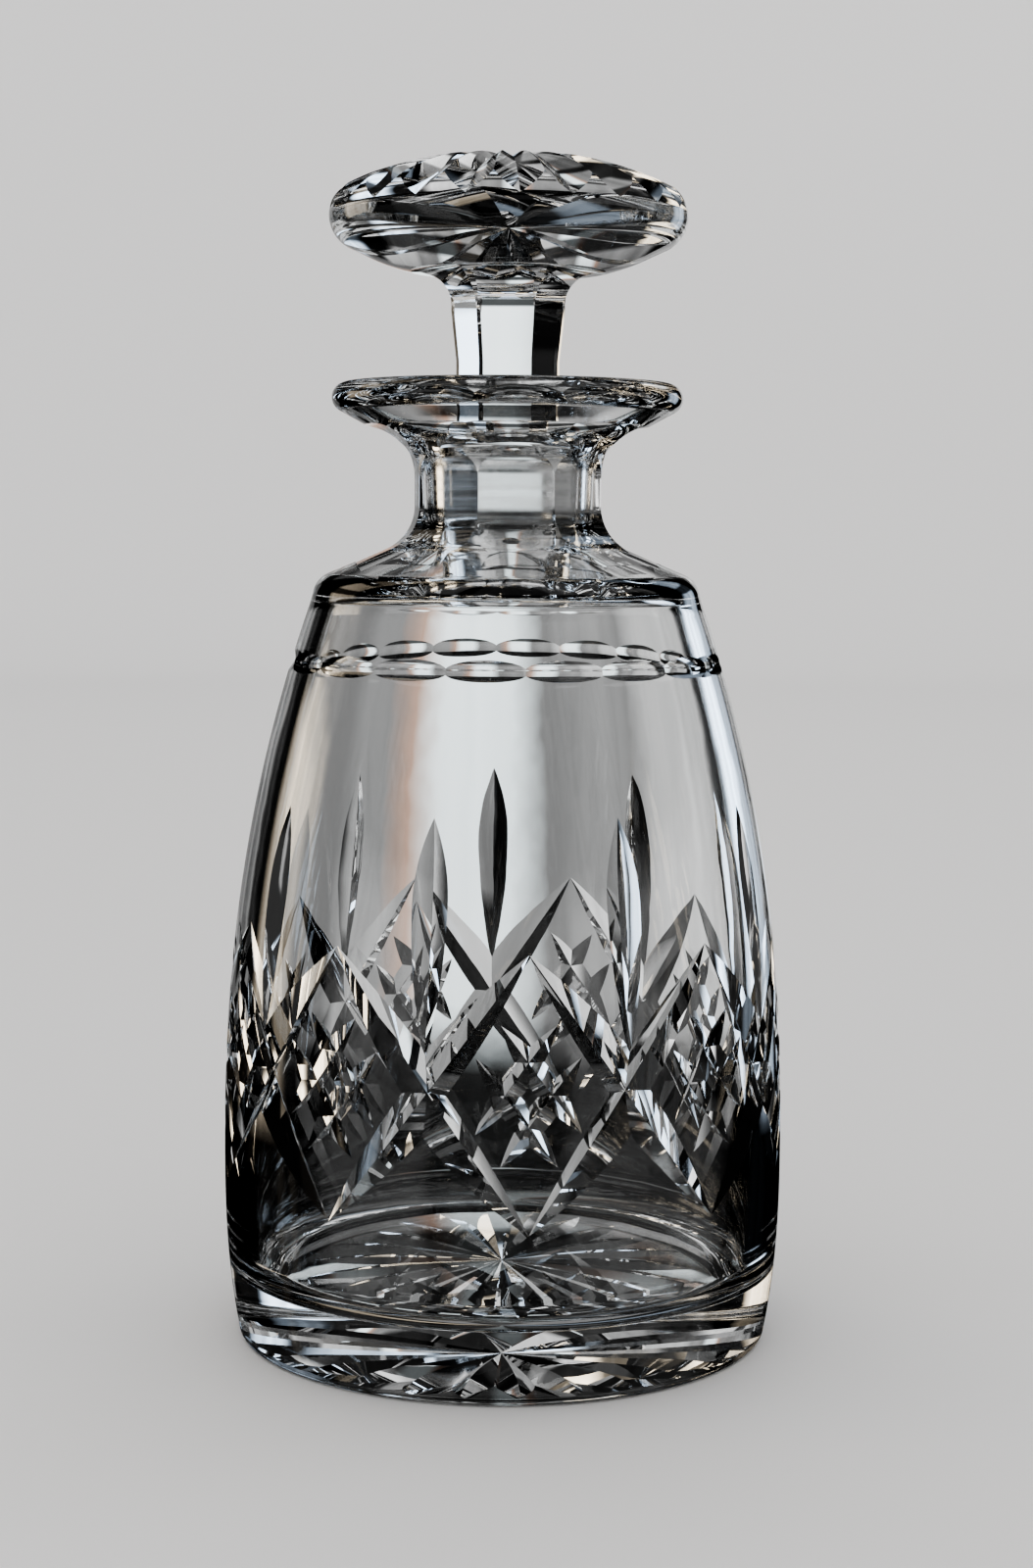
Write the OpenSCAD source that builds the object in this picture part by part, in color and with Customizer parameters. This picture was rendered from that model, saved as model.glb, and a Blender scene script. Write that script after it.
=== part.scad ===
/* [Body] */
// Diameter of the body at its widest
body_d = 112; // [108:0.5:116]
// Height of the widest place above the table
widest_z = 38; // [34:1:42]
// Height at which the side turns into the shoulder
shoulder_z = 146; // [145:0.5:147]
// How much smaller the radius is at the shoulder than at the widest place
shoulder_draw = 17; // [16:0.5:18]
// How much smaller the radius is at the foot than at the widest place
foot_draw = 2.6; // [2:0.2:3.4]
// Glass thickness of the side wall under the shoulder
wall_t = 4.2; // [3.8:0.2:5]
// How much thicker the side wall gets towards the base, per mm of height
wall_gain = 0.012; // [0:0.002:0.016]
// Height of the inside floor above the table, at its middle
floor_z = 16.5; // [15:0.5:18]
// Height of the inside floor above the table, at its edge
floor_edge_z = 13; // [12:0.5:14]

/* [Neck and lip] */
// Radius of the neck before the flutes are cut
neck_r = 19.3; // [19:0.1:20]
// Distance from the axis to the flat of each neck flute
flute_r = 17.8; // [17.4:0.1:18.2]
// Number of flutes round the neck
flutes = 8; // [6:1:10]
// Diameter of the pouring lip
lip_d = 69.2; // [68:0.2:71]
// Height of the top of the lip above the table
lip_z = 189.6; // [189.2:0.1:190]

/* [Ground joint] */
// Radius of the ground neck at its top
socket_r = 14; // [13.7:0.1:14.2]
// Length of the ground neck
socket_h = 15; // [13:0.5:16]
// Taper of the ground joint on the radius, per mm of height
joint_taper = 0.05; // [0.03:0.01:0.06]
// Gap between the two ground faces, on the radius
joint_gap = 0.06; // [0.05:0.01:0.1]

/* [Stopper] */
// Diameter of the mushroom head
head_d = 70.4; // [68:0.2:72]
// Overall height with the stopper in place
overall_h = 233.4; // [232.6:0.2:234]
// Distance from the axis to the flat of each shank facet
facet_r = 8.8; // [8.4:0.1:9.2]
// Number of facets round the shank
facets = 6; // [6:1:8]
// Height of the underside of the plug above the table
plug_z = 148; // [147:0.5:150]

/* [Cut pattern] */
// Number of times the diamond pattern repeats round the body
repeats = 9; // [8:1:10]
// Turn of the first diamond from the front
pattern_turn = 5.2; // [0:0.1:40]
// Height of the middle of the diamonds
diamond_z = 58.6; // [56:0.2:60]
// Height of each diamond from its upper to its lower point
diamond_h = 51.4; // [48:0.2:54]
// Depth of the long mitre cuts at their middle
mitre_depth = 2.1; // [1.5:0.1:2.4]
// Height of the middle of the leaf cuts
leaf_z = 87; // [84:0.5:90]
// Length of the leaf cuts
leaf_h = 43; // [38:0.5:46]
// Depth of the leaf cuts at their middle
leaf_depth = 2; // [1.4:0.1:2.2]
// Height of the girdle of oval cuts
girdle_z = 135.2; // [133:0.2:136]
// Depth of the girdle cuts where two of them meet
girdle_depth = 0.25; // [0.15:0.05:0.4]

/* [Stars] */
// Number of rays of the star under the base
base_rays = 24; // [16:2:28]
// Depth of the base star at its middle
base_depth = 2.3; // [1.6:0.1:2.8]
// Number of rays of the star over the head
head_rays = 22; // [18:2:26]

/* [Hidden] */
$fn = 96;

body_r = body_d / 2;
lip_r = lip_d / 2;
head_r = head_d / 2;

// Foot: a small round at the outer edge of the resting ring
foot_round = 1.3;
foot_tall = 36;

// Shoulder: a round corner, then a slope up to the neck
corner_r = 5.1;
slope = 23.6;
corner_x = body_r - shoulder_draw - 5.7;
corner_z = shoulder_z + 1.5;
neck_fillet = 10;
neck_fillet_z = 165.6;

// Lip: a round edge, a shallow underside and a steeper throat
edge_r = 2.95;
edge_x = lip_r - edge_r;
edge_z = lip_z - edge_r;
under_slope = 23;
throat_x = 26;
throat_z = 181.2;
throat_slope = 38;
throat_fillet = 3.5;

// Ground joint: the socket's lower end and its radii
socket_top = 176;
socket_low = socket_top - socket_h;
socket_low_r = socket_r - joint_taper * socket_h;

// Stopper head: a domed top, a round edge and a bowl-shaped underside
dome_r = 97;
head_edge_r = 6.6;
head_edge_z = 221.9;
bowl_r = 40;
bowl_x = 10.6;
bowl_z = 250.4;
shank_r = 11.2;
shank_fillet = 6;
shank_low = 181.5;

// Mitre wheel: half of the angle of its V edge, and how far a cutter stands clear of the glass
mitre_half = 58;
clear = 1.2;
// Radius of the side wall's own curve from foot to shoulder
side_curve = 345;
diamond_w = 360 / repeats;

// Points along an arc of radius r round [cx, cy], from angle a to angle b
function arc(cx, cy, r, a, b, n = 8) =
    [for (i = [0:n]) [cx + r * cos(a + (b - a) * i / n), cy + r * sin(a + (b - a) * i / n)]];

// Radius of the outside of the body at height z, from the foot to the shoulder
function side_r(z) = z < widest_z
    ? body_r - foot_draw * pow((widest_z - z) / foot_tall, 2.6)
    : body_r - shoulder_draw * pow((z - widest_z) / (shoulder_z - widest_z), 2.2);

// Radius of the inside of the body at height z
function wall_r(z) = side_r(z) - wall_t - wall_gain * (140 - z);

// Lean of the side from the vertical at height z, in degrees
function side_lean(z) = atan((side_r(z - 0.5) - side_r(z + 0.5)) / 1);

// Outline of the blank before cutting, from the middle of the base to the top of the lip
outer_points = concat(
    [[0, 0]],
    arc(side_r(foot_round) - foot_round, foot_round, foot_round, -90, -6, 4),
    [for (i = [1:4]) [side_r(widest_z * i / 4), widest_z * i / 4]],
    [for (i = [1:14]) let (z = widest_z + (shoulder_z - widest_z) * i / 14) [side_r(z), z]],
    arc(corner_x, corner_z, corner_r, 8, 90 - slope, 6),
    arc(neck_r + neck_fillet, neck_fillet_z, neck_fillet, 270 - slope, 180, 8),
    arc(neck_r + throat_fillet, 174.5, throat_fillet, 180, 90 + throat_slope, 4),
    [[throat_x, throat_z]],
    arc(edge_x, edge_z, edge_r, under_slope - 90, 90, 10)
);

// Mouth: a bell that opens from the ground neck to the top of the lip
mouth_points = concat(
    [[0, lip_z + 1], [edge_x - 0.6, lip_z + 1]],
    arc(edge_x - 0.6, edge_z + 0.3, edge_r - 0.3, 90, 115, 3),
    [[24, lip_z - 3.4], [18.5, lip_z - 7.3]],
    arc(socket_r + 6, socket_top, 6, 120, 180, 5)
);

// Inside of the body below the ground neck: throat, shoulder, side wall and floor
cavity_points = concat(
    [[socket_low_r, socket_low]],
    arc(socket_low_r + 6, 159.5, 6, 180, 270 - slope, 5),
    arc(corner_x - 1.2, corner_z - 2.6, corner_r - 1.6, 90 - slope, 8, 5),
    [for (i = [12:-1:0]) let (z = 24 + (138 - 24) * i / 12) [wall_r(z), z]],
    arc(wall_r(20) - 6, floor_edge_z + 6, 6, 0, -88, 6),
    [[24, floor_z - (floor_z - floor_edge_z) * 0.3], [0, floor_z]]
);

// A block with a V edge along the local Y axis, its edge bent to the given curve radius.
// A positive radius follows a round body, a negative one is the rim of a wheel.
module v_cutter(depth, length, curve) {
    w = (depth + clear) * tan(mitre_half);
    turn = length / abs(curve) * 180 / PI * 0.5 + 1;
    side = sign(curve);
    translate([-depth - curve, 0, 0])
        rotate([0, 0, side > 0 ? -turn : 180 - turn])
            rotate_extrude(angle = 2 * turn, $fn = 240)
                polygon([
                    [abs(curve), 0],
                    [abs(curve) + side * (depth + clear), w],
                    [abs(curve) + side * (depth + clear), -w]
                ]);
}

// A cut on the side of the body at angle a and height z, turned by lean from upright
module side_cut(a, z, turned, depth, length) {
    bend = pow(sin(turned), 2) / side_r(z) + pow(cos(turned), 2) / side_curve;
    curve = 1 / (bend - 8 * depth / pow(length, 2));
    rotate([0, 0, a - 90])
        translate([side_r(z), 0, z])
            rotate([0, -side_lean(z), 0])
                rotate([90 + turned, 0, 0])
                    v_cutter(depth, length, curve);
}

// Long mitre cuts: two sets that cross to make a band of diamonds
module diamond_cuts() {
    arc_w = diamond_w * PI / 180 * side_r(diamond_z);
    turned = atan(arc_w / diamond_h);
    length = sqrt(pow(arc_w, 2) + pow(diamond_h, 2));
    for (i = [0:repeats - 1], s = [-1, 1])
        side_cut(pattern_turn + diamond_w * (i + 0.5), diamond_z, s * turned, mitre_depth, length);
}

// Leaf cuts: one upright cut above each crossing
module leaf_cuts() {
    for (i = [0:repeats - 1])
        side_cut(pattern_turn + diamond_w * (i + 0.5), leaf_z, 0, leaf_depth, leaf_h);
}

// Girdle: a ring of oval cuts that meet end to end, two for each diamond
module girdle_cuts() {
    n = 2 * repeats;
    r = side_r(girdle_z);
    sink = r * (1 - cos(180 / n)) + girdle_depth;
    w = (sink + clear) * tan(68);
    for (i = [0:n - 1])
        rotate([0, 0, pattern_turn + (i + 0.5) * 360 / n - 90])
            translate([r, 0, girdle_z])
                rotate([0, -side_lean(girdle_z), 0])
                    rotate([90, 0, 0])
                        linear_extrude(height = 2 * r * tan(180 / n) + 1, center = true)
                            polygon([[-sink, 0], [clear, w], [clear, -w]]);
}

// Flutes round the neck: flat across, and hollow from the lip down to the shoulder
module neck_flutes() {
    for (i = [0:flutes - 1])
        rotate([0, 0, 6 + i * 360 / flutes - 90])
            rotate([90, 0, 0])
                linear_extrude(height = 26, center = true)
                    polygon(concat(
                        arc(flute_r + 9.4, 165.6, 9.4, 270 - slope, 180, 8),
                        arc(flute_r + 3, 173.6, 3, 180, 90 + throat_slope, 4),
                        [[24.2, 181.3], [30, 181.3], [30, 154]]
                    ));
}

// A star of V cuts from the middle outwards. line is where the V edge of each ray runs, as pairs of
// radius and height, and far is a height on the cutter's side that is clear of the glass.
module star(rays, turn, line, half_angle, far) {
    up = sign(far - line[0][1]);
    n = 2 * rays;
    last = len(line) - 1;
    function ray(k, r, z) = [r * cos(turn + k * 180 / rays), r * sin(turn + k * 180 / rays), z];
    function ridge(r) = up * r * sin(180 / rays) / tan(half_angle);
    function at(j, k) = 1 + (j - 1) * n + k % n;
    function ordered(f) = up > 0 ? f : [for (i = [len(f) - 1:-1:0]) f[i]];
    polyhedron(
        points = concat(
            [[0, 0, line[0][1]]],
            [for (j = [1:last], k = [0:n - 1])
                ray(k, line[j][0], line[j][1] + (k % 2 == 0 ? 0 : ridge(line[j][0])))],
            [for (k = [0:n - 1]) ray(k, line[last][0], far)]
        ),
        faces = concat(
            [for (k = [0:n - 1]) ordered([0, at(1, k), at(1, k + 1)])],
            [for (j = [1:1:last - 1], k = [0:n - 1]) ordered([at(j, k), at(j + 1, k), at(j + 1, k + 1)])],
            [for (j = [1:1:last - 1], k = [0:n - 1]) ordered([at(j, k), at(j + 1, k + 1), at(j, k + 1)])],
            [for (k = [0:n - 1])
                ordered([at(last, k), at(last + 1, k), at(last + 1, k + 1), at(last, k + 1)])],
            [ordered([for (k = [n - 1:-1:0]) at(last + 1, k)])]
        )
    );
}

// The bottle: a thick blown blank, cut outside, with a ground neck inside
module decanter_body() {
    color([0.86, 0.89, 0.9, 0.5])
        difference() {
            rotate_extrude() polygon(concat(outer_points, [[0, lip_z]]));
            rotate_extrude() polygon(concat(mouth_points, cavity_points));
            neck_flutes();
            girdle_cuts();
            diamond_cuts();
            leaf_cuts();
            star(base_rays, pattern_turn - 90, [[0, base_depth], [40, -0.2]], 56, -6);
        }
}

// Outline of the stopper before cutting: ground plug, shank, head
dome_edge_x = head_r - head_edge_r;
stopper_points = concat(
    [[0, plug_z]],
    arc(socket_low_r - 1.9, plug_z + 1.2, 1.2, -90, -3, 4),
    [[socket_low_r - joint_gap, socket_low], [socket_r - joint_gap, socket_top]],
    arc(socket_r - joint_gap - 2, socket_top + 2, 2, 0, 60, 4),
    [[shank_r, shank_low], [shank_r, 205]],
    arc(shank_r + shank_fillet, 205, shank_fillet, 180, 100, 6),
    arc(bowl_x, bowl_z, bowl_r, -78, -63, 5),
    arc(dome_edge_x, head_edge_z, head_edge_r, -58, 68, 12),
    [for (i = [8:-1:0]) let (x = 30.5 * i / 8)
        [x, overall_h - dome_r + sqrt(dome_r * dome_r - x * x)]]
);

// Facets round the shank: flat across, opening out under the head
module shank_facets() {
    for (i = [0:facets - 1])
        rotate([0, 0, -3 + i * 360 / facets - 90])
            rotate([90, 0, 0])
                linear_extrude(height = 24, center = true)
                    polygon(concat(
                        [[facet_r, shank_low - 1], [facet_r, 194], [facet_r + 0.9, 204]],
                        arc(facet_r + 7.9, 204.6, 6.9, 176, 105, 6),
                        [[20, 211.4], [20, shank_low - 1]]
                    ));
}

// The stopper: one solid piece of glass that lifts out of the ground neck
module stopper() {
    color([0.9, 0.93, 0.94, 0.6])
        difference() {
            rotate_extrude() polygon(stopper_points);
            shank_facets();
            star(head_rays, 3.6 - 90, [[0, overall_h - 0.4], [20, overall_h - 3.3], [37, overall_h - 12.2]], 60,
                overall_h + 8);
        }
}

decanter_body();
stopper();
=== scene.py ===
"""The looks of the cut crystal decanter: blown and cut bottle, ground-in stopper, plain studio.

Sizes are in millimetres and angles in degrees until a mesh is made. Angles round the axis start at
the front, -Y, and grow towards +X.
"""
import math

import bpy
import numpy as np
from mathutils import Matrix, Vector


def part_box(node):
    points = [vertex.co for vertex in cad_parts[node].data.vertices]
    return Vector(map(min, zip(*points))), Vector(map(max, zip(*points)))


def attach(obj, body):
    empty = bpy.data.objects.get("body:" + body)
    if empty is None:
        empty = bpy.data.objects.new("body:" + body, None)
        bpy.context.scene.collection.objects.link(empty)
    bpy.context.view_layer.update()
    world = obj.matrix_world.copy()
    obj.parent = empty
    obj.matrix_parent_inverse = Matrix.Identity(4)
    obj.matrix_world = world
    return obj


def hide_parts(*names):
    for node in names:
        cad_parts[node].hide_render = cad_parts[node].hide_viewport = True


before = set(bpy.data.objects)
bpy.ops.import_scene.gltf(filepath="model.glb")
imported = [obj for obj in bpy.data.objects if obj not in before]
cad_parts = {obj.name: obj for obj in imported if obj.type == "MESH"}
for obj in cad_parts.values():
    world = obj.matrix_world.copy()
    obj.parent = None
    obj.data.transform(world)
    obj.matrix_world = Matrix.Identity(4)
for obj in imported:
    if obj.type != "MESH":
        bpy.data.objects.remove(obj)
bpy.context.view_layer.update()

MM = 0.001
body_low, body_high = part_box("decanter_body")
plug_low, head_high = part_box("stopper")

# ---------------------------------------------------------------- sizes, worked out from the frame
BODY_R = (body_high.x - body_low.x) / 2 / MM
LIP_Z = body_high.z / MM
HEAD_R = (head_high.x - plug_low.x) / 2 / MM
TOP_Z = head_high.z / MM
PLUG_Z = plug_low.z / MM

# Side of the body: widest place, foot and shoulder. A CURVE is the power that a side draws in by.
WIDEST_Z, FOOT_DRAW, FOOT_TALL, FOOT_CURVE = 38.0, 2.6, 36.0, 2.6
SHOULDER_Z, SHOULDER_DRAW, SHOULDER_CURVE = 146.0, 17.0, 2.2
FOOT_ROUND = 1.3
# Shoulder, neck and lip
CORNER_R, SLOPE, CORNER_IN, CORNER_UP = 5.1, 23.6, 5.7, 1.5
CORNER = (BODY_R - SHOULDER_DRAW - CORNER_IN, SHOULDER_Z + CORNER_UP)
NECK_R, NECK_FILLET, NECK_FILLET_Z = 19.3, 10.0, 165.6
THROAT_FILLET, THROAT_FILLET_Z, THROAT_SLOPE = 3.5, 174.5, 38.0
LIP_R, LIP_EDGE, LIP_ROLL = 34.6, 2.95, 0.3
# Funnel of the mouth: radius, and depth under the lip, at its upper and lower ends
FUNNEL = ((24, 3.4), (18.5, 7.3))
MOUTH_ROUND = 6
# Inside: the wall's thickness, its gain towards the base, the stretch that follows the side, and the floor
WALL_TOP, WALL_GAIN, WALL_GAIN_Z, WALL_HIGH, WALL_LOW = 4.2, 0.012, 140, 143.5, 20
FLOOR_Z, FLOOR_EDGE_Z, FLOOR_FILLET = 16.5, 13.0, 6.0
INNER_FILLET, INNER_FILLET_Z = 6, 159.5
INNER_CORNER, INNER_CORNER_R = (CORNER[0] - 1.8, CORNER[1] - 2.6), CORNER_R - 1.6
# Ground joint
SOCKET_R, SOCKET_TOP, SOCKET_H, TAPER, GAP = 14.0, 176.0, 15.0, 0.05, 0.06
SOCKET_LOW = SOCKET_TOP - SOCKET_H
SOCKET_LOW_R = SOCKET_R - TAPER * SOCKET_H
# Stopper: plug, shank, underside and edge of the head, and the dome, whose radius is half DOME_FLAT
PLUG_EDGE_IN, PLUG_EDGE_R, PLUG_SHOULDER_R = 1.9, 1.2, 2
SHANK_R, SHANK_LOW, SHANK_TOP, SHANK_FILLET = 11.2, 181.5, 205.0, 6.0
BOWL, BOWL_R = (10.6, 250.4), 40.0
HEAD_EDGE_R, HEAD_EDGE_Z, HEAD_EDGE_END, DOME_FLAT = 6.6, 221.9, 68, 150

# Pattern: nine diamonds round the body
REPEATS, PATTERN_TURN = 9, 5.2
STEP = 360 / REPEATS
DIAMOND_Z, DIAMOND_H = 58.6, 51.4

# The kinds of glass surface, which are also the places of their materials in MATERIALS
POLISHED, GROUND, CUT, INSIDE = range(4)
BODY_SEGMENTS, STOPPER_SEGMENTS = 288, 240
# Points on the axis, points that are the same, and the cosine of the greatest bend that stays smooth
ON_AXIS, SAME_POINT, SMOOTH = 1e-6, 1e-4, 0.97


# ---------------------------------------------------------------- outlines
def side_r(z):
    """Radius of the outside of the body at height z, from the foot to the shoulder."""
    z = np.asarray(z, float)
    foot = BODY_R - FOOT_DRAW * (np.clip(WIDEST_Z - z, 0, None) / FOOT_TALL) ** FOOT_CURVE
    rise = np.clip(z - WIDEST_Z, 0, None) / (SHOULDER_Z - WIDEST_Z)
    return foot - SHOULDER_DRAW * rise ** SHOULDER_CURVE


def wall_r(z):
    """Radius of the inside of the body. The glass grows a little thicker towards the base."""
    return side_r(z) - WALL_TOP - WALL_GAIN * (WALL_GAIN_Z - np.asarray(z, float))


def with_normals(points, kind):
    """A stretch of outline: points, the normals on the side that faces out of the glass, and a kind."""
    points = np.asarray(points, float)
    along = np.gradient(points, axis=0)
    normals = np.stack([along[:, 1], -along[:, 0]], 1)
    return points, normals / np.linalg.norm(normals, axis=1, keepdims=True), kind


def arc(cx, cz, r, start, end, count, kind=POLISHED):
    """A round stretch. A rising angle bulges out of the glass, and a falling one is a hollow."""
    a = np.radians(np.linspace(start, end, count + 1))
    ray = np.stack([np.cos(a), np.sin(a)], 1)
    return np.array([cx, cz]) + r * ray, ray * (1 if end > start else -1), kind


def body_outline():
    """The outline of the bottle: up its outside from the foot, over the lip and down its inside."""
    foot_x = float(side_r(FOOT_ROUND)) - FOOT_ROUND
    side_z = np.linspace(FOOT_ROUND + 0.4, SHOULDER_Z, 74)
    edge_x, edge_z = LIP_R - LIP_EDGE, LIP_Z - LIP_EDGE
    wall_z = np.linspace(WALL_HIGH, WALL_LOW, 46)
    floor_x = float(wall_r(WALL_LOW)) - FLOOR_FILLET
    floor_r = np.linspace(floor_x - 1, 0, 14)
    floor_z = FLOOR_Z - (FLOOR_Z - FLOOR_EDGE_Z) * (floor_r / floor_x) ** 2
    return [
        with_normals([[0, 0], [foot_x, 0]], POLISHED),
        arc(foot_x, FOOT_ROUND, FOOT_ROUND, -90, -6, 8),
        with_normals(np.stack([side_r(side_z), side_z], 1), POLISHED),
        arc(*CORNER, CORNER_R, 8, 90 - SLOPE, 10),
        arc(NECK_R + NECK_FILLET, NECK_FILLET_Z, NECK_FILLET, 270 - SLOPE, 180, 16),
        arc(NECK_R + THROAT_FILLET, THROAT_FILLET_Z, THROAT_FILLET, 180, 90 + THROAT_SLOPE, 8),
        arc(edge_x, edge_z, LIP_EDGE, -67, 90, 20),
        arc(edge_x - 2 * LIP_ROLL, edge_z + LIP_ROLL, LIP_EDGE - LIP_ROLL, 90, 115, 4),
        with_normals([[r, LIP_Z - depth] for r, depth in FUNNEL], POLISHED),
        arc(SOCKET_R + MOUTH_ROUND, SOCKET_TOP, MOUTH_ROUND, 120, 180, 10),
        with_normals([[SOCKET_R, SOCKET_TOP], [SOCKET_LOW_R, SOCKET_LOW]], GROUND),
        arc(SOCKET_LOW_R + INNER_FILLET, INNER_FILLET_Z, INNER_FILLET, 180, 270 - SLOPE, 10, INSIDE),
        arc(*INNER_CORNER, INNER_CORNER_R, 90 - SLOPE, 8, 8, INSIDE),
        with_normals(np.stack([wall_r(wall_z), wall_z], 1), INSIDE),
        arc(floor_x, FLOOR_EDGE_Z + FLOOR_FILLET, FLOOR_FILLET, 0, -86, 12, INSIDE),
        with_normals(np.stack([floor_r, floor_z], 1), INSIDE),
    ]


def stopper_outline():
    """The outline of the stopper, from the end of the plug up to the middle of the head."""
    edge_x = HEAD_R - HEAD_EDGE_R
    rim_a = math.radians(HEAD_EDGE_END)
    rim = (edge_x + HEAD_EDGE_R * math.cos(rim_a), HEAD_EDGE_Z + HEAD_EDGE_R * math.sin(rim_a))
    dome_r = np.linspace(rim[0] - 0.5, 0, 16)
    dome_z = rim[1] + (rim[0] ** 2 - dome_r ** 2) / DOME_FLAT
    return [
        with_normals([[0, PLUG_Z], [SOCKET_LOW_R - PLUG_EDGE_IN, PLUG_Z]], POLISHED),
        arc(SOCKET_LOW_R - PLUG_EDGE_IN, PLUG_Z + PLUG_EDGE_R, PLUG_EDGE_R, -90, -3, 8),
        with_normals([[SOCKET_LOW_R - GAP, SOCKET_LOW], [SOCKET_R - GAP, SOCKET_TOP]], GROUND),
        arc(SOCKET_R - GAP - PLUG_SHOULDER_R, SOCKET_TOP + PLUG_SHOULDER_R, PLUG_SHOULDER_R, 0, 60, 6),
        with_normals([[SHANK_R, SHANK_LOW], [SHANK_R, SHANK_TOP]], POLISHED),
        arc(SHANK_R + SHANK_FILLET, SHANK_TOP, SHANK_FILLET, 180, 100, 12),
        arc(*BOWL, BOWL_R, -78, -63, 10),
        arc(edge_x, HEAD_EDGE_Z, HEAD_EDGE_R, -58, HEAD_EDGE_END, 24),
        with_normals(np.stack([dome_r, dome_z], 1), POLISHED),
    ]


# ---------------------------------------------------------------- closed meshes with true normals
class Shell:
    """One closed mesh, which keeps the true normal of the glass at every corner of its faces."""

    def __init__(self):
        self.points, self.faces, self.normals, self.kinds = [], [], [], []

    def add(self, points):
        start = len(self.points)
        self.points.extend(map(tuple, points))
        return start

    def face(self, corners, normals, kind):
        self.faces.append(corners)
        self.normals.extend(normals)
        self.kinds.append(kind)

    def make(self, name):
        mesh = bpy.data.meshes.new(name)
        mesh.from_pydata([tuple(c * MM for c in p) for p in self.points], [], self.faces)
        mesh.update()
        for material in MATERIALS:
            mesh.materials.append(material)
        mesh.polygons.foreach_set("material_index", self.kinds)
        normals = np.array(self.normals, np.float32)
        attribute = mesh.attributes.new("glass_normal", "FLOAT_VECTOR", "CORNER")
        attribute.data.foreach_set("vector", normals.ravel())
        obj = bpy.data.objects.new(name, mesh)
        bpy.context.scene.collection.objects.link(obj)
        return obj


def round_axis(a):
    """Outward and sideways unit vectors at angle a."""
    a = math.radians(a)
    return np.array([math.sin(a), -math.cos(a), 0]), np.array([math.cos(a), math.sin(a), 0])


UP = np.array([0, 0, 1.0])


def smooth_or_flat(normal, flat):
    """A face's normal at one end: the curve's own where the face follows the curve, or else its own."""
    return normal if normal @ flat > SMOOTH else flat


def revolve(name, stretches, segments):
    """Turns an outline that starts and ends on the axis into a closed solid."""
    shell = Shell()
    turn = np.linspace(0, 2 * math.pi, segments, endpoint=False)
    sin, cos = np.sin(turn), -np.cos(turn)

    def around(pair):
        return np.stack([pair[0] * sin, pair[0] * cos, np.full(segments, pair[1])], 1)

    def ring(point):
        if point[0] < ON_AXIS:
            return [shell.add([(0, 0, point[1])])] * segments
        start = shell.add(around(point))
        return list(range(start, start + segments))

    def band(low, high, low_n, high_n, low_pole, high_pole, kind):
        low_n, high_n = around(low_n), around(high_n)
        for i in range(segments):
            j = (i + 1) % segments
            if low_pole:
                shell.face([low[0], high[j], high[i]], [low_n[i], high_n[j], high_n[i]], kind)
            elif high_pole:
                shell.face([low[i], low[j], high[0]], [low_n[i], low_n[j], high_n[i]], kind)
            else:
                corners = [low[i], low[j], high[j], high[i]]
                shell.face(corners, [low_n[i], low_n[j], high_n[j], high_n[i]], kind)

    last = None
    for points, normals, kind in stretches:
        for k, (point, normal) in enumerate(zip(points, normals)):
            if last is not None and np.linalg.norm(point - last[0]) < SAME_POINT:
                last = (point, normal, last[2])
                continue
            here = ring(point)
            if last is not None:
                low_n, high_n, kind_here = last[1], normal, kind
                if k == 0:
                    # the face that joins two stretches
                    step = point - last[0]
                    flat = np.array([step[1], -step[0]]) / np.linalg.norm(step)
                    low_n, high_n = smooth_or_flat(low_n, flat), smooth_or_flat(high_n, flat)
                    kind_here = POLISHED if GROUND in (kind, last_kind) else kind
                band(last[2], here, low_n, high_n, last[0][0] < ON_AXIS, point[0] < ON_AXIS, kind_here)
            last = (point, normal, here)
        last_kind = kind
    return shell.make(name)


def signed_volume(points, faces):
    """Six times the volume inside the faces, below zero where they are wound inside out."""
    total = 0.0
    for f in faces:
        a = points[f[0]]
        for b, c in zip(f[1:], f[2:]):
            total += np.dot(a, np.cross(points[b], points[c]))
    return total


def add_tube(shell, rings, normals=None):
    """Adds a closed tube of cut faces, whose normals point into it. rings is stations x corners x 3.
    normals is stations x walls x 2 x 3, or None for walls that are smooth along the tube and flat across."""
    stations, corners = rings.shape[:2]
    if normals is None:
        along = np.gradient(rings, axis=0)
        across = np.roll(rings, -1, axis=1) - rings
        flow = along + np.roll(along, -1, axis=1)
        flat = np.cross(flow, across)
        flat /= np.linalg.norm(flat, axis=2, keepdims=True)
        inward = rings.mean(axis=1, keepdims=True) - rings
        flat *= np.sign((flat * inward).sum(axis=2, keepdims=True))
        normals = np.stack([flat, flat], 2)
    points = rings.reshape(-1, 3)
    faces, face_normals = [], []
    for s in range(stations - 1):
        for c in range(corners):
            d = (c + 1) % corners
            a, b = s * corners, (s + 1) * corners
            faces.append([a + c, a + d, b + d, b + c])
            face_normals.append([*normals[s, c], *normals[s + 1, c, ::-1]])
    ends = [(list(range(corners))[::-1], rings[1, 0] - rings[0, 0]),
            (list(range((stations - 1) * corners, stations * corners)), rings[-2, 0] - rings[-1, 0])]
    for cap, inward in ends:
        faces.append(cap)
        face_normals.append([inward / np.linalg.norm(inward)] * corners)
    if signed_volume(points, faces) < 0:
        faces = [f[::-1] for f in faces]
        face_normals = [n[::-1] for n in face_normals]
    start = shell.add(points)
    for f, n in zip(faces, face_normals):
        shell.face([start + v for v in f], n, CUT)


# ---------------------------------------------------------------- cutters for the wheel cuts
# How far the cutters stand out of the glass, and the radius of the side's curve from foot to shoulder
CLEAR, SIDE_BOW = 1.6, 345
# Walls of the V cuts, as half-width over depth: the widest, and the one used where a cut has no depth
WIDEST_V, EMPTY_V = 3.2, 1.5
# How far round, in degrees, the cuts have slipped at the back: they are spaced by eye
SPACING_SLIP = 2.0


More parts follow.
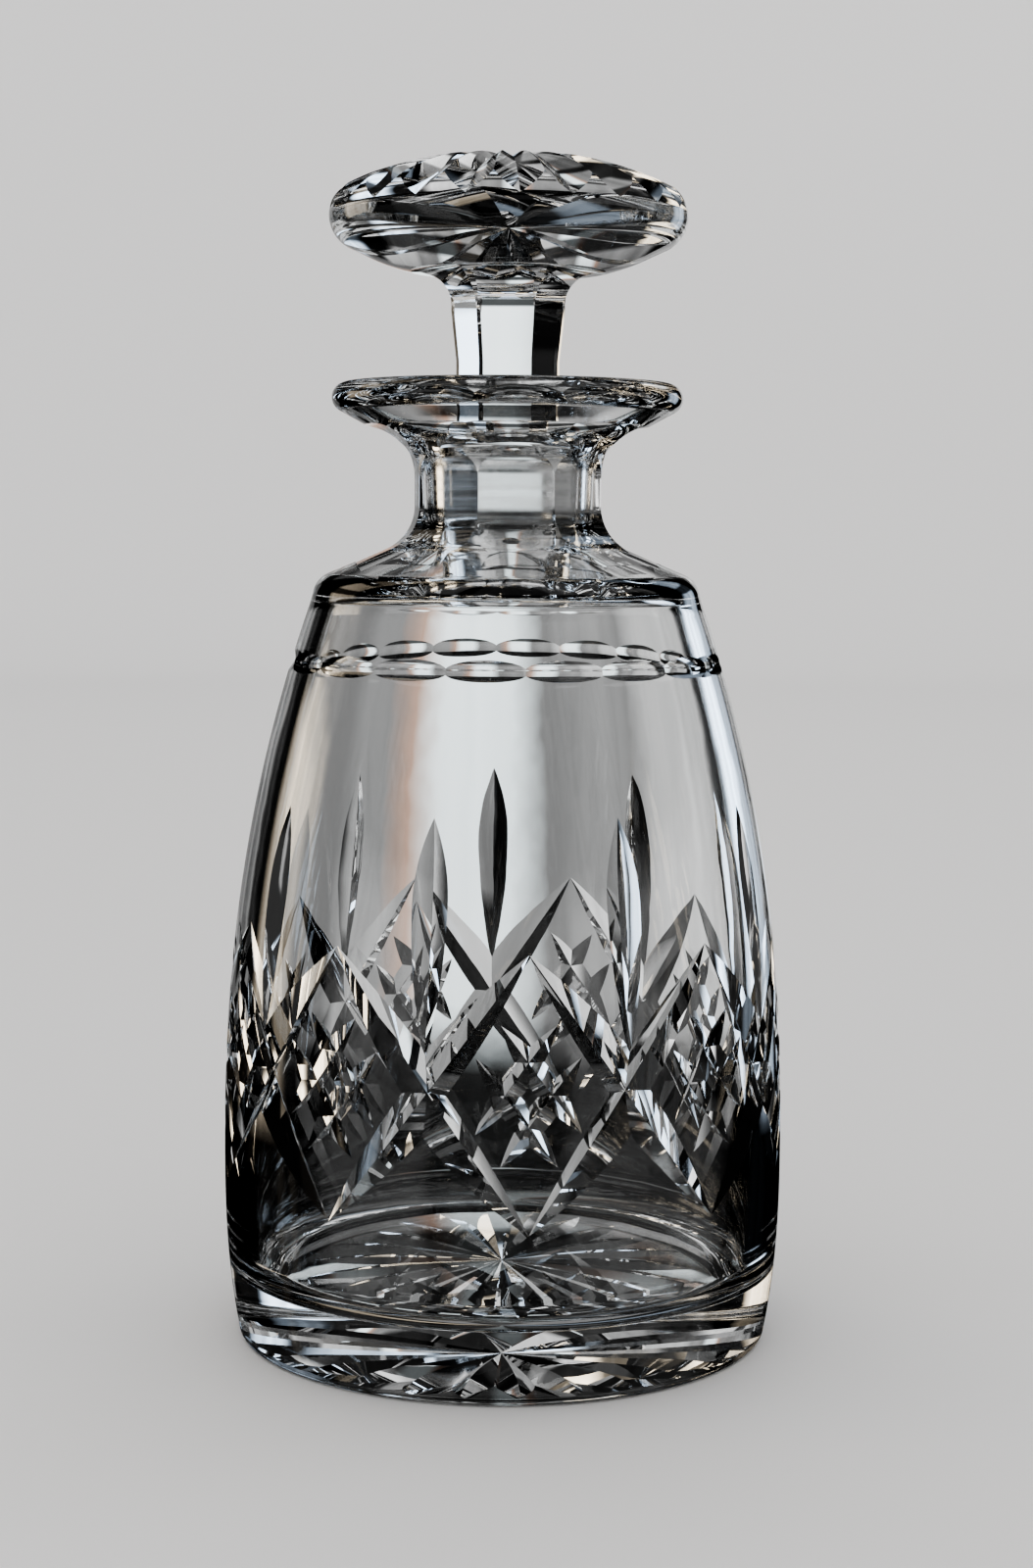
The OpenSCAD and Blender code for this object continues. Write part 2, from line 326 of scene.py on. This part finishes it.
def side_frame(a, z):
    """Point on the side of the body, its normal, and the sideways and upward tangents."""
    out, across = round_axis(a)
    r = float(side_r(z))
    probe = 0.25
    slope = float(side_r(z + probe) - side_r(z - probe)) / (2 * probe)
    normal = out - UP * slope
    normal /= np.linalg.norm(normal)
    return out * r + UP * z, normal, across, np.cross(normal, across)


def side_groove(shell, start, end, left, right, depth, stations=26, reach=(0.06, 0.06)):
    """A V cut along the side from start to end, each (angle, height). left, right and depth give the
    half-widths and the depth in mm at t from 0 to 1. Past a pointed end the V rises out of the glass."""
    rings = []
    for t in np.linspace(-reach[0], 1 + reach[1], stations):
        a = spaced(start[0] + (end[0] - start[0]) * t)
        z = start[1] + (end[1] - start[1]) * t
        point, normal, across, up = side_frame(a, z)
        r = float(side_r(z))
        run = across * math.radians(end[0] - start[0]) * r + up * (end[1] - start[1])
        run /= np.linalg.norm(run)
        side = np.cross(normal, run)
        curve = (side @ across) ** 2 / r + (side @ up) ** 2 / SIDE_BOW
        d = depth(t)
        valley = point - normal * d
        walls = []
        for width, sign in ((left(t), 1), (right(t), -1)):
            # the wall passes through the rim, which lies a little lower than the tangent plane
            tan = EMPTY_V
            if abs(d) > 1e-6:
                tan = min(abs(width) / max(abs(d) - width * width * curve / 2, 1e-3), WIDEST_V)
            rise = max(d, 0) + CLEAR
            walls.append(valley + normal * rise + side * sign * rise * tan)
        rings.append([valley, walls[0], walls[1]])
    add_tube(shell, np.array(rings))


def spaced(a):
    """Where a cut meant for angle a lies, with the slip of spacing by eye, which is greatest at the back."""
    return a - SPACING_SLIP * math.sin(math.radians(a) / 2) ** 2


def scaled(full, shape):
    """A width or depth along a cut: its full size times a shape, which is a function of t."""
    return lambda t: full * shape(t)


def bow(t):
    """A wheel's cut: nothing at t = 0, full at t = 1, and level there."""
    return 1 - (1 - t) * abs(1 - t)


# Long mitre cuts: from each point of a diamond to the crossing beside it, held at a slant to the glass
GROOVE_IN, GROOVE_OUT, GROOVE_DEPTH = 3.35, 5.0, 2.2


def groove_cutters():
    """Four sets: from the upper and the lower points, each to the left and to the right."""
    cutters = []
    for side in (-1, 1):
        for end in (-1, 1):
            shell = Shell()
            for i in range(REPEATS):
                a = PATTERN_TURN + STEP * i
                vertex = (a, DIAMOND_Z + end * DIAMOND_H / 2)
                crossing = (a + side * STEP / 2, DIAMOND_Z)
                widths = [scaled(GROOVE_IN, bow), scaled(GROOVE_OUT, bow)]
                if side * end > 0:
                    widths.reverse()
                side_groove(shell, vertex, crossing, *widths, scaled(GROOVE_DEPTH, bow), reach=(0.05, 0.012))
            cutters.append(shell.make(f"groove_{side}_{end}"))
    return cutters


# Hatching: two short cuts each way across the middle of each diamond, moved from it by HATCH_A and HATCH_DZ
HATCH_L, HATCH_HALF, HATCH_DEPTH, HATCH_A, HATCH_DZ = 25.0, 2.5, 1.75, 2.35, 3.0


def arch(t):
    """A wheel's cut between two pointed ends."""
    return 4 * t * (1 - t)


def hatch_cutters():
    """Four sets: two that lean each way, parallel to the diamond's sides."""
    cutters = []
    rise = DIAMOND_H / 2
    run = math.radians(STEP / 2) * float(side_r(DIAMOND_Z))
    half = HATCH_L / 2 / math.hypot(rise, run)
    for lean in (-1, 1):
        for shift in (-1, 1):
            shell = Shell()
            for i in range(REPEATS):
                a = PATTERN_TURN + STEP * i + lean * shift * HATCH_A
                z = DIAMOND_Z + shift * HATCH_DZ
                da, dz = STEP / 2 * half, -lean * rise * half
                half_width = scaled(HATCH_HALF, arch)
                side_groove(shell, (a - da, z - dz), (a + da, z + dz), half_width, half_width,
                            scaled(HATCH_DEPTH, arch))
            cutters.append(shell.make(f"hatch_{lean}_{shift}"))
    return cutters


# Leaf cuts: one upright cut above each crossing, widest near its upper end
LEAF_TOP, LEAF_WIDE, LEAF_LOW, LEAF_HALF, LEAF_DEPTH = 108.6, 93.0, 64.5, 3.4, 2.0


def leaf_cutters():
    """One set, with a leaf over each crossing."""
    shell = Shell()
    high, low = LEAF_TOP - LEAF_WIDE, LEAF_WIDE - LEAF_LOW

    def share(t):
        z = LEAF_LOW + (LEAF_TOP - LEAF_LOW) * t - LEAF_WIDE
        return 1 - (z / (high if z > 0 else low)) ** 2

    for i in range(REPEATS):
        a = PATTERN_TURN + STEP * (i + 0.5)
        half_width = scaled(LEAF_HALF, share)
        side_groove(shell, (a, LEAF_LOW), (a, LEAF_TOP), half_width, half_width, scaled(LEAF_DEPTH, share),
                    stations=40, reach=(0.05, 0.03))
    return [shell.make("leaves")]


# Girdle: a ring of oval cuts that meet end to end under the shoulder. The wheel's edge has the radius
# GIRDLE_ROUND, and leaves the glass GIRDLE_NODE_DEPTH below its surface where two ovals meet.
GIRDLE_Z, GIRDLE_NODE_DEPTH, GIRDLE_ROUND, GIRDLE_POINTS, GIRDLE_OVERLAP = 135.1, 0.04, 3.6, 21, 0.6


def girdle_cutters():
    """Straight round-sided bars, in two sets that don't touch."""
    count = 2 * REPEATS
    r = float(side_r(GIRDLE_Z))
    half_turn = math.pi / count
    sink = r * (1 - math.cos(half_turn)) + GIRDLE_NODE_DEPTH
    wide = math.acos(1 - (sink + CLEAR) / GIRDLE_ROUND)
    cutters = []
    for first in (0, 1):
        shell = Shell()
        for i in range(first, count, 2):
            a = spaced(PATTERN_TURN + 360 / count * (i + 0.5))
            point, normal, across, up = side_frame(a, GIRDLE_Z)
            section, faced = [], []
            for turned in np.linspace(-wide, wide, GIRDLE_POINTS):
                lean = normal * math.cos(turned) - up * math.sin(turned)
                section.append(point + normal * (GIRDLE_ROUND - sink) - lean * GIRDLE_ROUND)
                faced.append(lean)
            section = np.array(section[::-1])
            faced = np.array(faced[::-1])
            length = r * math.tan(half_turn) + GIRDLE_OVERLAP
            rings = np.array([section + across * length * s for s in (-1, 0, 1)])
            walls = np.stack([faced, np.roll(faced, -1, axis=0)], 1)
            walls[-1] = normal
            add_tube(shell, rings, np.broadcast_to(walls, (3, *walls.shape)).copy())
        cutters.append(shell.make(f"girdle_{first}"))
    return cutters


def prism_cutters(name, count, turn, stretches, half_width):
    """Flat-bottomed cutters round the axis, in two sets that don't touch. stretches is the section in
    the plane of radius and height, with normals that face into the cutter."""
    points = np.concatenate([s[0] for s in stretches])
    normals = np.concatenate([s[1] for s in stretches])
    total = len(points)
    cutters = []
    for first in (0, 1):
        shell = Shell()
        for i in range(first, count, 2):
            out, across = round_axis(turn + 360 / count * i)
            section = points[:, :1] * out + points[:, 1:] * UP
            rings = np.array([section - across * half_width, section + across * half_width])
            wall = np.zeros((2, total, 2, 3))
            for c in range(total):
                d = (c + 1) % total
                step = points[d] - points[c]
                flat = np.array([step[1], -step[0]])
                flat /= max(np.linalg.norm(flat), 1e-9)
                for k, n in enumerate((normals[c], normals[d])):
                    n = smooth_or_flat(n, flat)
                    wall[:, c, k] = n[0] * out + n[1] * UP
            add_tube(shell, rings, wall)
        cutters.append(shell.make(f"{name}_{first}"))
    return cutters


def hollow(cx, cz, r, start, end, count):
    """A round stretch of a cutter's section, with normals away from the centre line of the glass."""
    a = np.radians(np.linspace(start, end, count + 1))
    ray = np.stack([np.cos(a), np.sin(a)], 1)
    return np.array([cx, cz]) + r * ray, -ray


# Neck: eight flat flutes, hollow from the lip down to the shoulder
FLUTES, FLUTE_TURN, FLUTE_R, FLUTE_HALF, FLUTE_FILLET = 8, 6.0, 17.8, 13.0, 9.4
FLUTE_LOW, FLUTE_BEND_Z, FLUTE_TOP, FLUTE_CLEAR_R = 154.0, 171.0, 181.4, 30.0


def flute_cutters():
    bare = np.array([[FLUTE_CLEAR_R, FLUTE_TOP], [FLUTE_CLEAR_R, FLUTE_LOW]])
    rise = FLUTE_TOP - FLUTE_BEND_Z
    stretches = [
        hollow(FLUTE_R + FLUTE_FILLET, NECK_FILLET_Z, FLUTE_FILLET, 270 - SLOPE, 180, 16),
        hollow(FLUTE_R + rise, FLUTE_BEND_Z, rise, 180, 95, 20),
        (bare, np.tile([0.0, 1.0], (2, 1))),
    ]
    return prism_cutters("flute", FLUTES, FLUTE_TURN, stretches, FLUTE_HALF)


# Shank: six flat facets that open out under the head
FACETS, FACET_TURN, FACET_R, FACET_HALF = 6, -3.0, 8.8, 12.0
FACET_LOW, FACET_FLAT_TOP, FACET_TOP, FACET_CLEAR_R = SHANK_LOW - 1, 194.0, 211.4, 20.0
# The hollow at a facet's upper end: how far out of the facet its centre is, its height and its radius
FACET_BEND_OUT, FACET_BEND_Z, FACET_BEND_R = 7.9, 204.6, 6.9


def facet_cutters():
    low = np.array([[FACET_R, FACET_LOW], [FACET_R, FACET_FLAT_TOP]])
    bare = np.array([[FACET_CLEAR_R, FACET_TOP], [FACET_CLEAR_R, FACET_LOW]])
    stretches = [
        (low, np.tile([1.0, 0.0], (2, 1))),
        hollow(FACET_R + FACET_BEND_OUT, FACET_BEND_Z, FACET_BEND_R, 176, 105, 14),
        (bare, np.tile([0.0, 1.0], (2, 1))),
    ]
    return prism_cutters("facet", FACETS, FACET_TURN, stretches, FACET_HALF)


def star_cutter(name, rays, turn, valley, half_angle, radius, far_z, stations=24):
    """Radial V cuts that meet in a pleated face. valley gives the height of each V's lowest line at
    radius r, and far_z is a level that is clear of the glass."""
    shell = Shell()
    up = 1 if far_z > valley(0) else -1
    lines = 2 * rays
    half = math.pi / rays
    pleat = math.sin(half) / math.tan(math.radians(half_angle))
    radii = radius * np.linspace(0, 1, stations + 1)[1:]
    rings = []
    for r in radii:
        ring = []
        for k in range(lines):
            out, _ = round_axis(turn + 180 / rays * k)
            # even lines are valleys, and odd ones are the ridges between them
            z = valley(r * math.cos(half)) + up * r * pleat if k % 2 else valley(r)
            ring.append(out * r + UP * z)
        rings.append(ring)
    rings = np.array(rings)
    centre = np.array([0, 0, valley(0)])
    with_centre = np.concatenate([np.broadcast_to(centre, (1, lines, 3)), rings])
    along = np.gradient(with_centre, axis=0)[1:]
    across = np.roll(rings, -1, axis=1) - rings
    flat = np.cross(along + np.roll(along, -1, axis=1), across)
    flat /= np.linalg.norm(flat, axis=2, keepdims=True)
    flat *= np.sign(flat[..., 2:]) * up
    start = shell.add(rings.reshape(-1, 3))
    middle = shell.add([centre])
    rim = shell.add([(p[0], p[1], far_z) for p in rings[-1]])
    top = shell.add([(0, 0, far_z)])

    def face(corners, normals):
        # the pleats look away from far_z on the cutter, so their order turns over with up
        shell.face(corners[::up], normals[::up], CUT)

    level = UP * -up
    for k in range(lines):
        m = (k + 1) % lines
        face([middle, start + m, start + k], [flat[0, k]] * 3)
        for s in range(stations - 1):
            a, b = start + s * lines, start + (s + 1) * lines
            face([a + k, a + m, b + m, b + k], [flat[s, k], flat[s, k], flat[s + 1, k], flat[s + 1, k]])
        a = start + (stations - 1) * lines
        face([a + k, a + m, rim + m, rim + k], [level] * 4)
        face([rim + k, rim + m, top], [level] * 3)
    return shell.make(name)


# Star under the base, and star over the head. A CURVE is the power that a valley's depth changes by,
# and an OVERRUN is how far the cutter goes past the edge of the star.
BASE_RAYS, BASE_STAR_R, BASE_STAR_DEPTH, BASE_HALF_ANGLE = 24, 39.0, 2.3, 56.0
BASE_STAR_CURVE, BASE_OVERRUN, BASE_FAR_Z = 5, 1.5, -3
HEAD_RAYS, HEAD_STAR_TURN, HEAD_HALF_ANGLE, HEAD_STAR_FALL = 22, 3.6, 60.0, 10.5
HEAD_STAR_CURVE, HEAD_OVERRUN, HEAD_FAR_Z = 2.3, 2, TOP_Z + 5


def base_star():
    def valley(r):
        return BASE_STAR_DEPTH * (1 - (r / BASE_STAR_R) ** BASE_STAR_CURVE)

    return star_cutter("base_star", BASE_RAYS, PATTERN_TURN, valley, BASE_HALF_ANGLE,
                       BASE_STAR_R + BASE_OVERRUN, BASE_FAR_Z)


def head_star():
    def valley(r):
        return TOP_Z - HEAD_STAR_FALL * (r / HEAD_R) ** HEAD_STAR_CURVE

    return star_cutter("head_star", HEAD_RAYS, HEAD_STAR_TURN, valley, HEAD_HALF_ANGLE,
                       HEAD_R + HEAD_OVERRUN, HEAD_FAR_Z)


def cut_glass(blank, cutters, name):
    """Takes the cutters from the blank, and gives the result the true normals it has kept."""
    for cutter in cutters:
        modifier = blank.modifiers.new(cutter.name, "BOOLEAN")
        modifier.operation = "DIFFERENCE"
        modifier.solver = "MANIFOLD"
        modifier.object = cutter
    depsgraph = bpy.context.evaluated_depsgraph_get()
    mesh = bpy.data.meshes.new_from_object(blank.evaluated_get(depsgraph))
    for obj in [blank, *cutters]:
        bpy.data.objects.remove(obj)
    mesh.name = name
    normals = np.empty(len(mesh.loops) * 3, np.float32)
    attribute = mesh.attributes["glass_normal"]
    attribute.data.foreach_get("vector", normals)
    normals = normals.reshape(-1, 3)
    normals /= np.maximum(np.linalg.norm(normals, axis=1, keepdims=True), 1e-9)
    mesh.attributes.remove(attribute)
    mesh.shade_smooth()
    mesh.normals_split_custom_set(normals.tolist())
    obj = bpy.data.objects.new(name, mesh)
    bpy.context.scene.collection.objects.link(obj)
    return obj


# ---------------------------------------------------------------- nodes
def feed(tree, socket, value):
    """Gives a socket its value, or links it to the output that has it."""
    if isinstance(value, bpy.types.NodeSocket):
        tree.links.new(value, socket)
    else:
        socket.default_value = value


def noise(tree, socket, place, scale, detail):
    """Noise from 0 to 1. place feeds the socket of that name: Vector, or W for noise along a line."""
    node = tree.nodes.new("ShaderNodeTexNoise")
    node.noise_dimensions = "1D" if socket == "W" else "3D"
    node.inputs["Scale"].default_value = scale
    node.inputs["Detail"].default_value = detail
    tree.links.new(place, node.inputs[socket])
    return node.outputs["Fac"]


def spread(tree, value, start, end, low, high):
    """Takes value from the range start to end to the range low to high, and holds it there."""
    node = tree.nodes.new("ShaderNodeMapRange")
    for socket, number in zip(("From Min", "From Max", "To Min", "To Max"), (start, end, low, high)):
        node.inputs[socket].default_value = number
    tree.links.new(value, node.inputs["Value"])
    return node.outputs["Result"]


def calculate(tree, operation, a, b):
    node = tree.nodes.new("ShaderNodeMath")
    node.operation = operation
    feed(tree, node.inputs[0], a)
    feed(tree, node.inputs[1], b)
    return node.outputs[0]


def mix(tree, share, first, second, blend="MIX"):
    node = tree.nodes.new("ShaderNodeMixRGB")
    node.blend_type = blend
    for socket, value in zip(node.inputs, (share, first, second)):
        feed(tree, socket, value)
    return node.outputs[0]


def colour_ramp(tree, stops, share):
    """A ramp through stops of place, from 0 to 1, and colour, where a single number is a grey."""
    node = tree.nodes.new("ShaderNodeValToRGB")
    elements = node.color_ramp.elements
    while len(elements) < len(stops):
        elements.new(0.5)
    for element, (at, value) in zip(elements, stops):
        element.position = at
        element.color = (*value, 1) if isinstance(value, tuple) else (value, value, value, 1)
    tree.links.new(share, node.inputs[0])
    return node.outputs[0]


# ---------------------------------------------------------------- materials
GLASS_IOR, GLASS_TINT, GROUND_TINT = 1.545, (0.985, 0.99, 0.99, 1), (0.97, 0.975, 0.975, 1)
# Noises, each as scale and detail, and the part of their range that shows
WAVE_DETAIL = 2
SMEARS, SMEAR_RANGE = (60, 6), (0.5, 0.75)
RINGS, RING_RANGE, RING_SQUEEZE = (40, 5), (0.3, 0.7), 25
# Ground glass: its least and greatest roughness, and the depth in mm of the rings
GROUND_ROUGH, RING_DEPTH = (0.08, 0.22), 0.02


def new_material(name):
    material = bpy.data.materials.new(name)
    material.use_nodes = True
    return material, material.node_tree, material.node_tree.nodes["Principled BSDF"]


def new_glass(name, tint):
    """Clear glass, with its nodes, its shader and the output that gives the place on the object."""
    material, tree, shader = new_material(name)
    shader.inputs["Base Color"].default_value = tint
    shader.inputs["Transmission Weight"].default_value = 1
    shader.inputs["IOR"].default_value = GLASS_IOR
    return material, tree, shader, tree.nodes.new("ShaderNodeTexCoord").outputs["Object"]


def emboss(tree, shader, height, depth):
    """Raises the surface by height, from 0 to 1, times depth in mm."""
    bump = tree.nodes.new("ShaderNodeBump")
    bump.inputs["Strength"].default_value = 1
    bump.inputs["Distance"].default_value = depth * MM
    tree.links.new(height, bump.inputs["Height"])
    tree.links.new(bump.outputs["Normal"], shader.inputs["Normal"])


def crystal(name, ripple=0.01, ripple_size=9.0, haze=0.004):
    """Clear lead crystal. ripple is the height in mm of its faint waves, and haze its greatest roughness."""
    material, tree, shader, place = new_glass(name, GLASS_TINT)
    emboss(tree, shader, noise(tree, "Vector", place, 1 / (ripple_size * MM), WAVE_DETAIL), ripple)
    smears = spread(tree, noise(tree, "Vector", place, *SMEARS), *SMEAR_RANGE, 0, haze)
    tree.links.new(smears, shader.inputs["Roughness"])
    return material


def ground_glass(name):
    """The frosted faces of the ground joint, with the fine rings that grinding leaves."""
    material, tree, shader, place = new_glass(name, GROUND_TINT)
    squeeze = tree.nodes.new("ShaderNodeMapping")
    squeeze.inputs["Scale"].default_value = (1, 1, RING_SQUEEZE)
    tree.links.new(place, squeeze.inputs["Vector"])
    rings = noise(tree, "Vector", squeeze.outputs["Vector"], *RINGS)
    tree.links.new(spread(tree, rings, *RING_RANGE, *GROUND_ROUGH), shader.inputs["Roughness"])
    emboss(tree, shader, rings, RING_DEPTH)
    return material


# In the order of POLISHED, GROUND, CUT, INSIDE
MATERIALS = [
    crystal("polished_crystal"),
    ground_glass("ground_crystal"),
    crystal("cut_crystal", ripple=0.003, ripple_size=4.0, haze=0.006),
    crystal("blown_inside", ripple=0.06, ripple_size=16.0),
]


# ---------------------------------------------------------------- the two pieces of glass
def build():
    body = cut_glass(
        revolve("body_blank", body_outline(), BODY_SEGMENTS),
        [*flute_cutters(), *girdle_cutters(), *groove_cutters(), *leaf_cutters(), *hatch_cutters(),
         base_star()],
        "crystal_body")
    stopper = cut_glass(
        revolve("stopper_blank", stopper_outline(), STOPPER_SEGMENTS),
        [*facet_cutters(), head_star()],
        "crystal_stopper")
    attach(body, "bottle")
    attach(stopper, "stopper")
    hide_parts("decanter_body")
    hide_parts("stopper")


# ---------------------------------------------------------------- studio
WARM, WINDOW, SKY, LAMP = (0.36, 0.25, 0.2), (0.78, 0.85, 0.87), (1.1, 1.3, 1.55), (1.6, 1.38, 1.08)
# The room that the glass sees, by the angle in degrees from straight behind it towards +X
BANDS = [
    (-180, 0.25), (-160, 0.25), (-157, 0.01), (-150, 0.01), (-147, 0.7), (-104, 0.7), (-100, 0.01),
    (-82, 0.01), (-78, LAMP), (-56, LAMP), (-51, 0.004), (-29, 0.004), (-26, 0.21), (-5.6, 0.21),
    (-5.2, WARM), (-3.2, WARM), (-2.8, WINDOW), (0.9, WINDOW), (1.3, 0.21), (6.2, 0.21), (7, 0.45),
    (17, 0.5), (20, 0.004), (29, 0.004), (33, SKY), (47, SKY), (51, 0.004), (72, 0.004),
    (76, 0.7), (150, 0.7), (154, 0.25), (180, 0.25),
]
# and by the sine of the angle above the table, which is dark behind the glass and pale in front of it
LEVELS = [
    (-1, 0.1), (-0.7, 0.1), (-0.6, 0.004), (-0.215, 0.004), (-0.195, 0.85), (0, 1.0), (0.16, 1.0),
    (0.2, 0.08), (0.35, 0.08), (0.4, 0.9), (0.6, 0.8), (0.64, 0.01), (0.69, 0.01), (0.73, 0.4),
    (0.86, 0.4), (0.9, 0.9), (1, 0.9),
]
NEAR_LEVELS = [
    (-1, 0.2), (-0.7, 0.2), (-0.6, 0.3), (-0.12, 0.3), (-0.08, 1.0), (0.12, 1.0), (0.16, 0.08),
    (0.48, 0.08), (0.54, 0.8), (1, 0.8),
]
# Where the room changes from near to far, as the Y of the direction
NEAR_Y, FAR_Y = 0.05, 0.25
# Curtain folds that shade the room: noise scale and detail, the part of it that shows, and the shades
FOLDS, FOLD_RANGE, FOLD_SHADES = (60, 4), (0.3, 0.7), (0.75, 1.15)
ROOM_STRENGTH, BACKDROP = 1.6, (0.62, 0.62, 0.625, 1)
# The floor, in metres: how far it lies under the foot, and the round sweep at its edge
FLOOR_DROP, SWEEP_R, SWEEP_BEND, SWEEP_TOP, SWEEP_SIDES, SWEEP_STEPS = 0.0002, 2.2, 0.8, 3.5, 96, 24
FLOOR_COLOUR, FLOOR_ROUGH = (0.82, 0.81, 0.8, 1), 0.6


def make_floor():
    """A pale floor that sweeps up all round. The glass doesn't see it, as if it stood on a dark table."""
    turn = np.linspace(-math.pi / 2, 0, SWEEP_STEPS + 1)
    outline = [(SWEEP_R + SWEEP_BEND * math.cos(a), SWEEP_BEND + SWEEP_BEND * math.sin(a)) for a in turn]
    outline.append((SWEEP_R + SWEEP_BEND, SWEEP_TOP))
    around = 2 * math.pi * np.arange(SWEEP_SIDES) / SWEEP_SIDES
    points = [(r * math.cos(a), r * math.sin(a), z - FLOOR_DROP) for r, z in outline for a in around]
    faces = [list(range(SWEEP_SIDES))]
    for k in range((len(outline) - 1) * SWEEP_SIDES):
        after = k + 1 if (k + 1) % SWEEP_SIDES else k + 1 - SWEEP_SIDES
        faces.append((k, k + SWEEP_SIDES, after + SWEEP_SIDES, after))
    mesh = bpy.data.meshes.new("floor")
    mesh.from_pydata(points, [], faces)
    mesh.shade_smooth()
    floor = bpy.data.objects.new("floor", mesh)
    bpy.context.scene.collection.objects.link(floor)
    floor.visible_transmission = False
    floor.visible_glossy = False
    floor.visible_diffuse = False
    material, _, shader = new_material("floor")
    shader.inputs["Base Color"].default_value = FLOOR_COLOUR
    shader.inputs["Roughness"].default_value = FLOOR_ROUGH
    floor.data.materials.append(material)


def make_room():
    """The room lights the glass and shows in it. The camera and the floor see a plain backdrop instead."""
    world = bpy.data.worlds.new("studio")
    bpy.context.scene.world = world
    world.use_nodes = True
    tree = world.node_tree
    tree.nodes.clear()

    split = tree.nodes.new("ShaderNodeSeparateXYZ")
    tree.links.new(tree.nodes.new("ShaderNodeTexCoord").outputs["Generated"], split.inputs[0])
    x, y, z = split.outputs
    turns = calculate(tree, "DIVIDE", calculate(tree, "ARCTAN2", x, y), 2 * math.pi)
    around = calculate(tree, "ADD", turns, 0.5)
    height = calculate(tree, "ADD", calculate(tree, "MULTIPLY", z, 0.5), 0.5)

    strips = colour_ramp(tree, [((a + 180) / 360, v) for a, v in BANDS], around)
    behind = colour_ramp(tree, [((sine + 1) / 2, v) for sine, v in LEVELS], height)
    near = colour_ramp(tree, [((sine + 1) / 2, v) for sine, v in NEAR_LEVELS], height)
    levels = mix(tree, spread(tree, y, NEAR_Y, FAR_Y, 0, 1), near, behind)
    folds = spread(tree, noise(tree, "W", around, *FOLDS), *FOLD_RANGE, *FOLD_SHADES)
    room = mix(tree, 1, mix(tree, 1, strips, levels, "MULTIPLY"), folds, "MULTIPLY")

    path = tree.nodes.new("ShaderNodeLightPath")
    plain = calculate(tree, "MAXIMUM", path.outputs["Is Camera Ray"], path.outputs["Is Diffuse Ray"])
    shine = tree.nodes.new("ShaderNodeBackground")
    shine.inputs["Strength"].default_value = ROOM_STRENGTH
    tree.links.new(mix(tree, plain, room, BACKDROP), shine.inputs["Color"])
    output = tree.nodes.new("ShaderNodeOutputWorld")
    tree.links.new(shine.outputs[0], output.inputs["Surface"])


# ---------------------------------------------------------------- camera
# Place in metres, sensor and lens in millimetres. The roll is a slight tilt of the photo.
CAMERA_PLACE, CAMERA_PITCH, CAMERA_ROLL = (0.0023, -0.52725, 0.162), -5.605, 0.4
CAMERA_SENSOR, CAMERA_LENS, CAMERA_NEAR = 36, 60.75, 0.01
# Few glossy bounces, which keeps down the noise of light caught inside the glass
ALL_BOUNCES, CLEAR_BOUNCES, GLOSSY_BOUNCES = 14, 13, 5


def set_camera():
    camera = bpy.data.objects.new("camera", bpy.data.cameras.new("camera"))
    scene = bpy.context.scene
    scene.collection.objects.link(camera)
    camera.data.sensor_width = CAMERA_SENSOR
    camera.data.lens = CAMERA_LENS
    camera.data.clip_start = CAMERA_NEAR
    camera.location = CAMERA_PLACE
    pitch, roll = math.radians(CAMERA_PITCH), math.radians(CAMERA_ROLL)
    look = Matrix.Rotation(math.radians(90) + pitch, 4, "X") @ Matrix.Rotation(roll, 4, "Z")
    camera.rotation_euler = look.to_euler()
    scene.camera = camera
    scene.view_settings.look = "AgX - High Contrast"
    scene.cycles.max_bounces = ALL_BOUNCES
    scene.cycles.transmission_bounces = CLEAR_BOUNCES
    scene.cycles.glossy_bounces = GLOSSY_BOUNCES


build()
make_floor()
make_room()
set_camera()
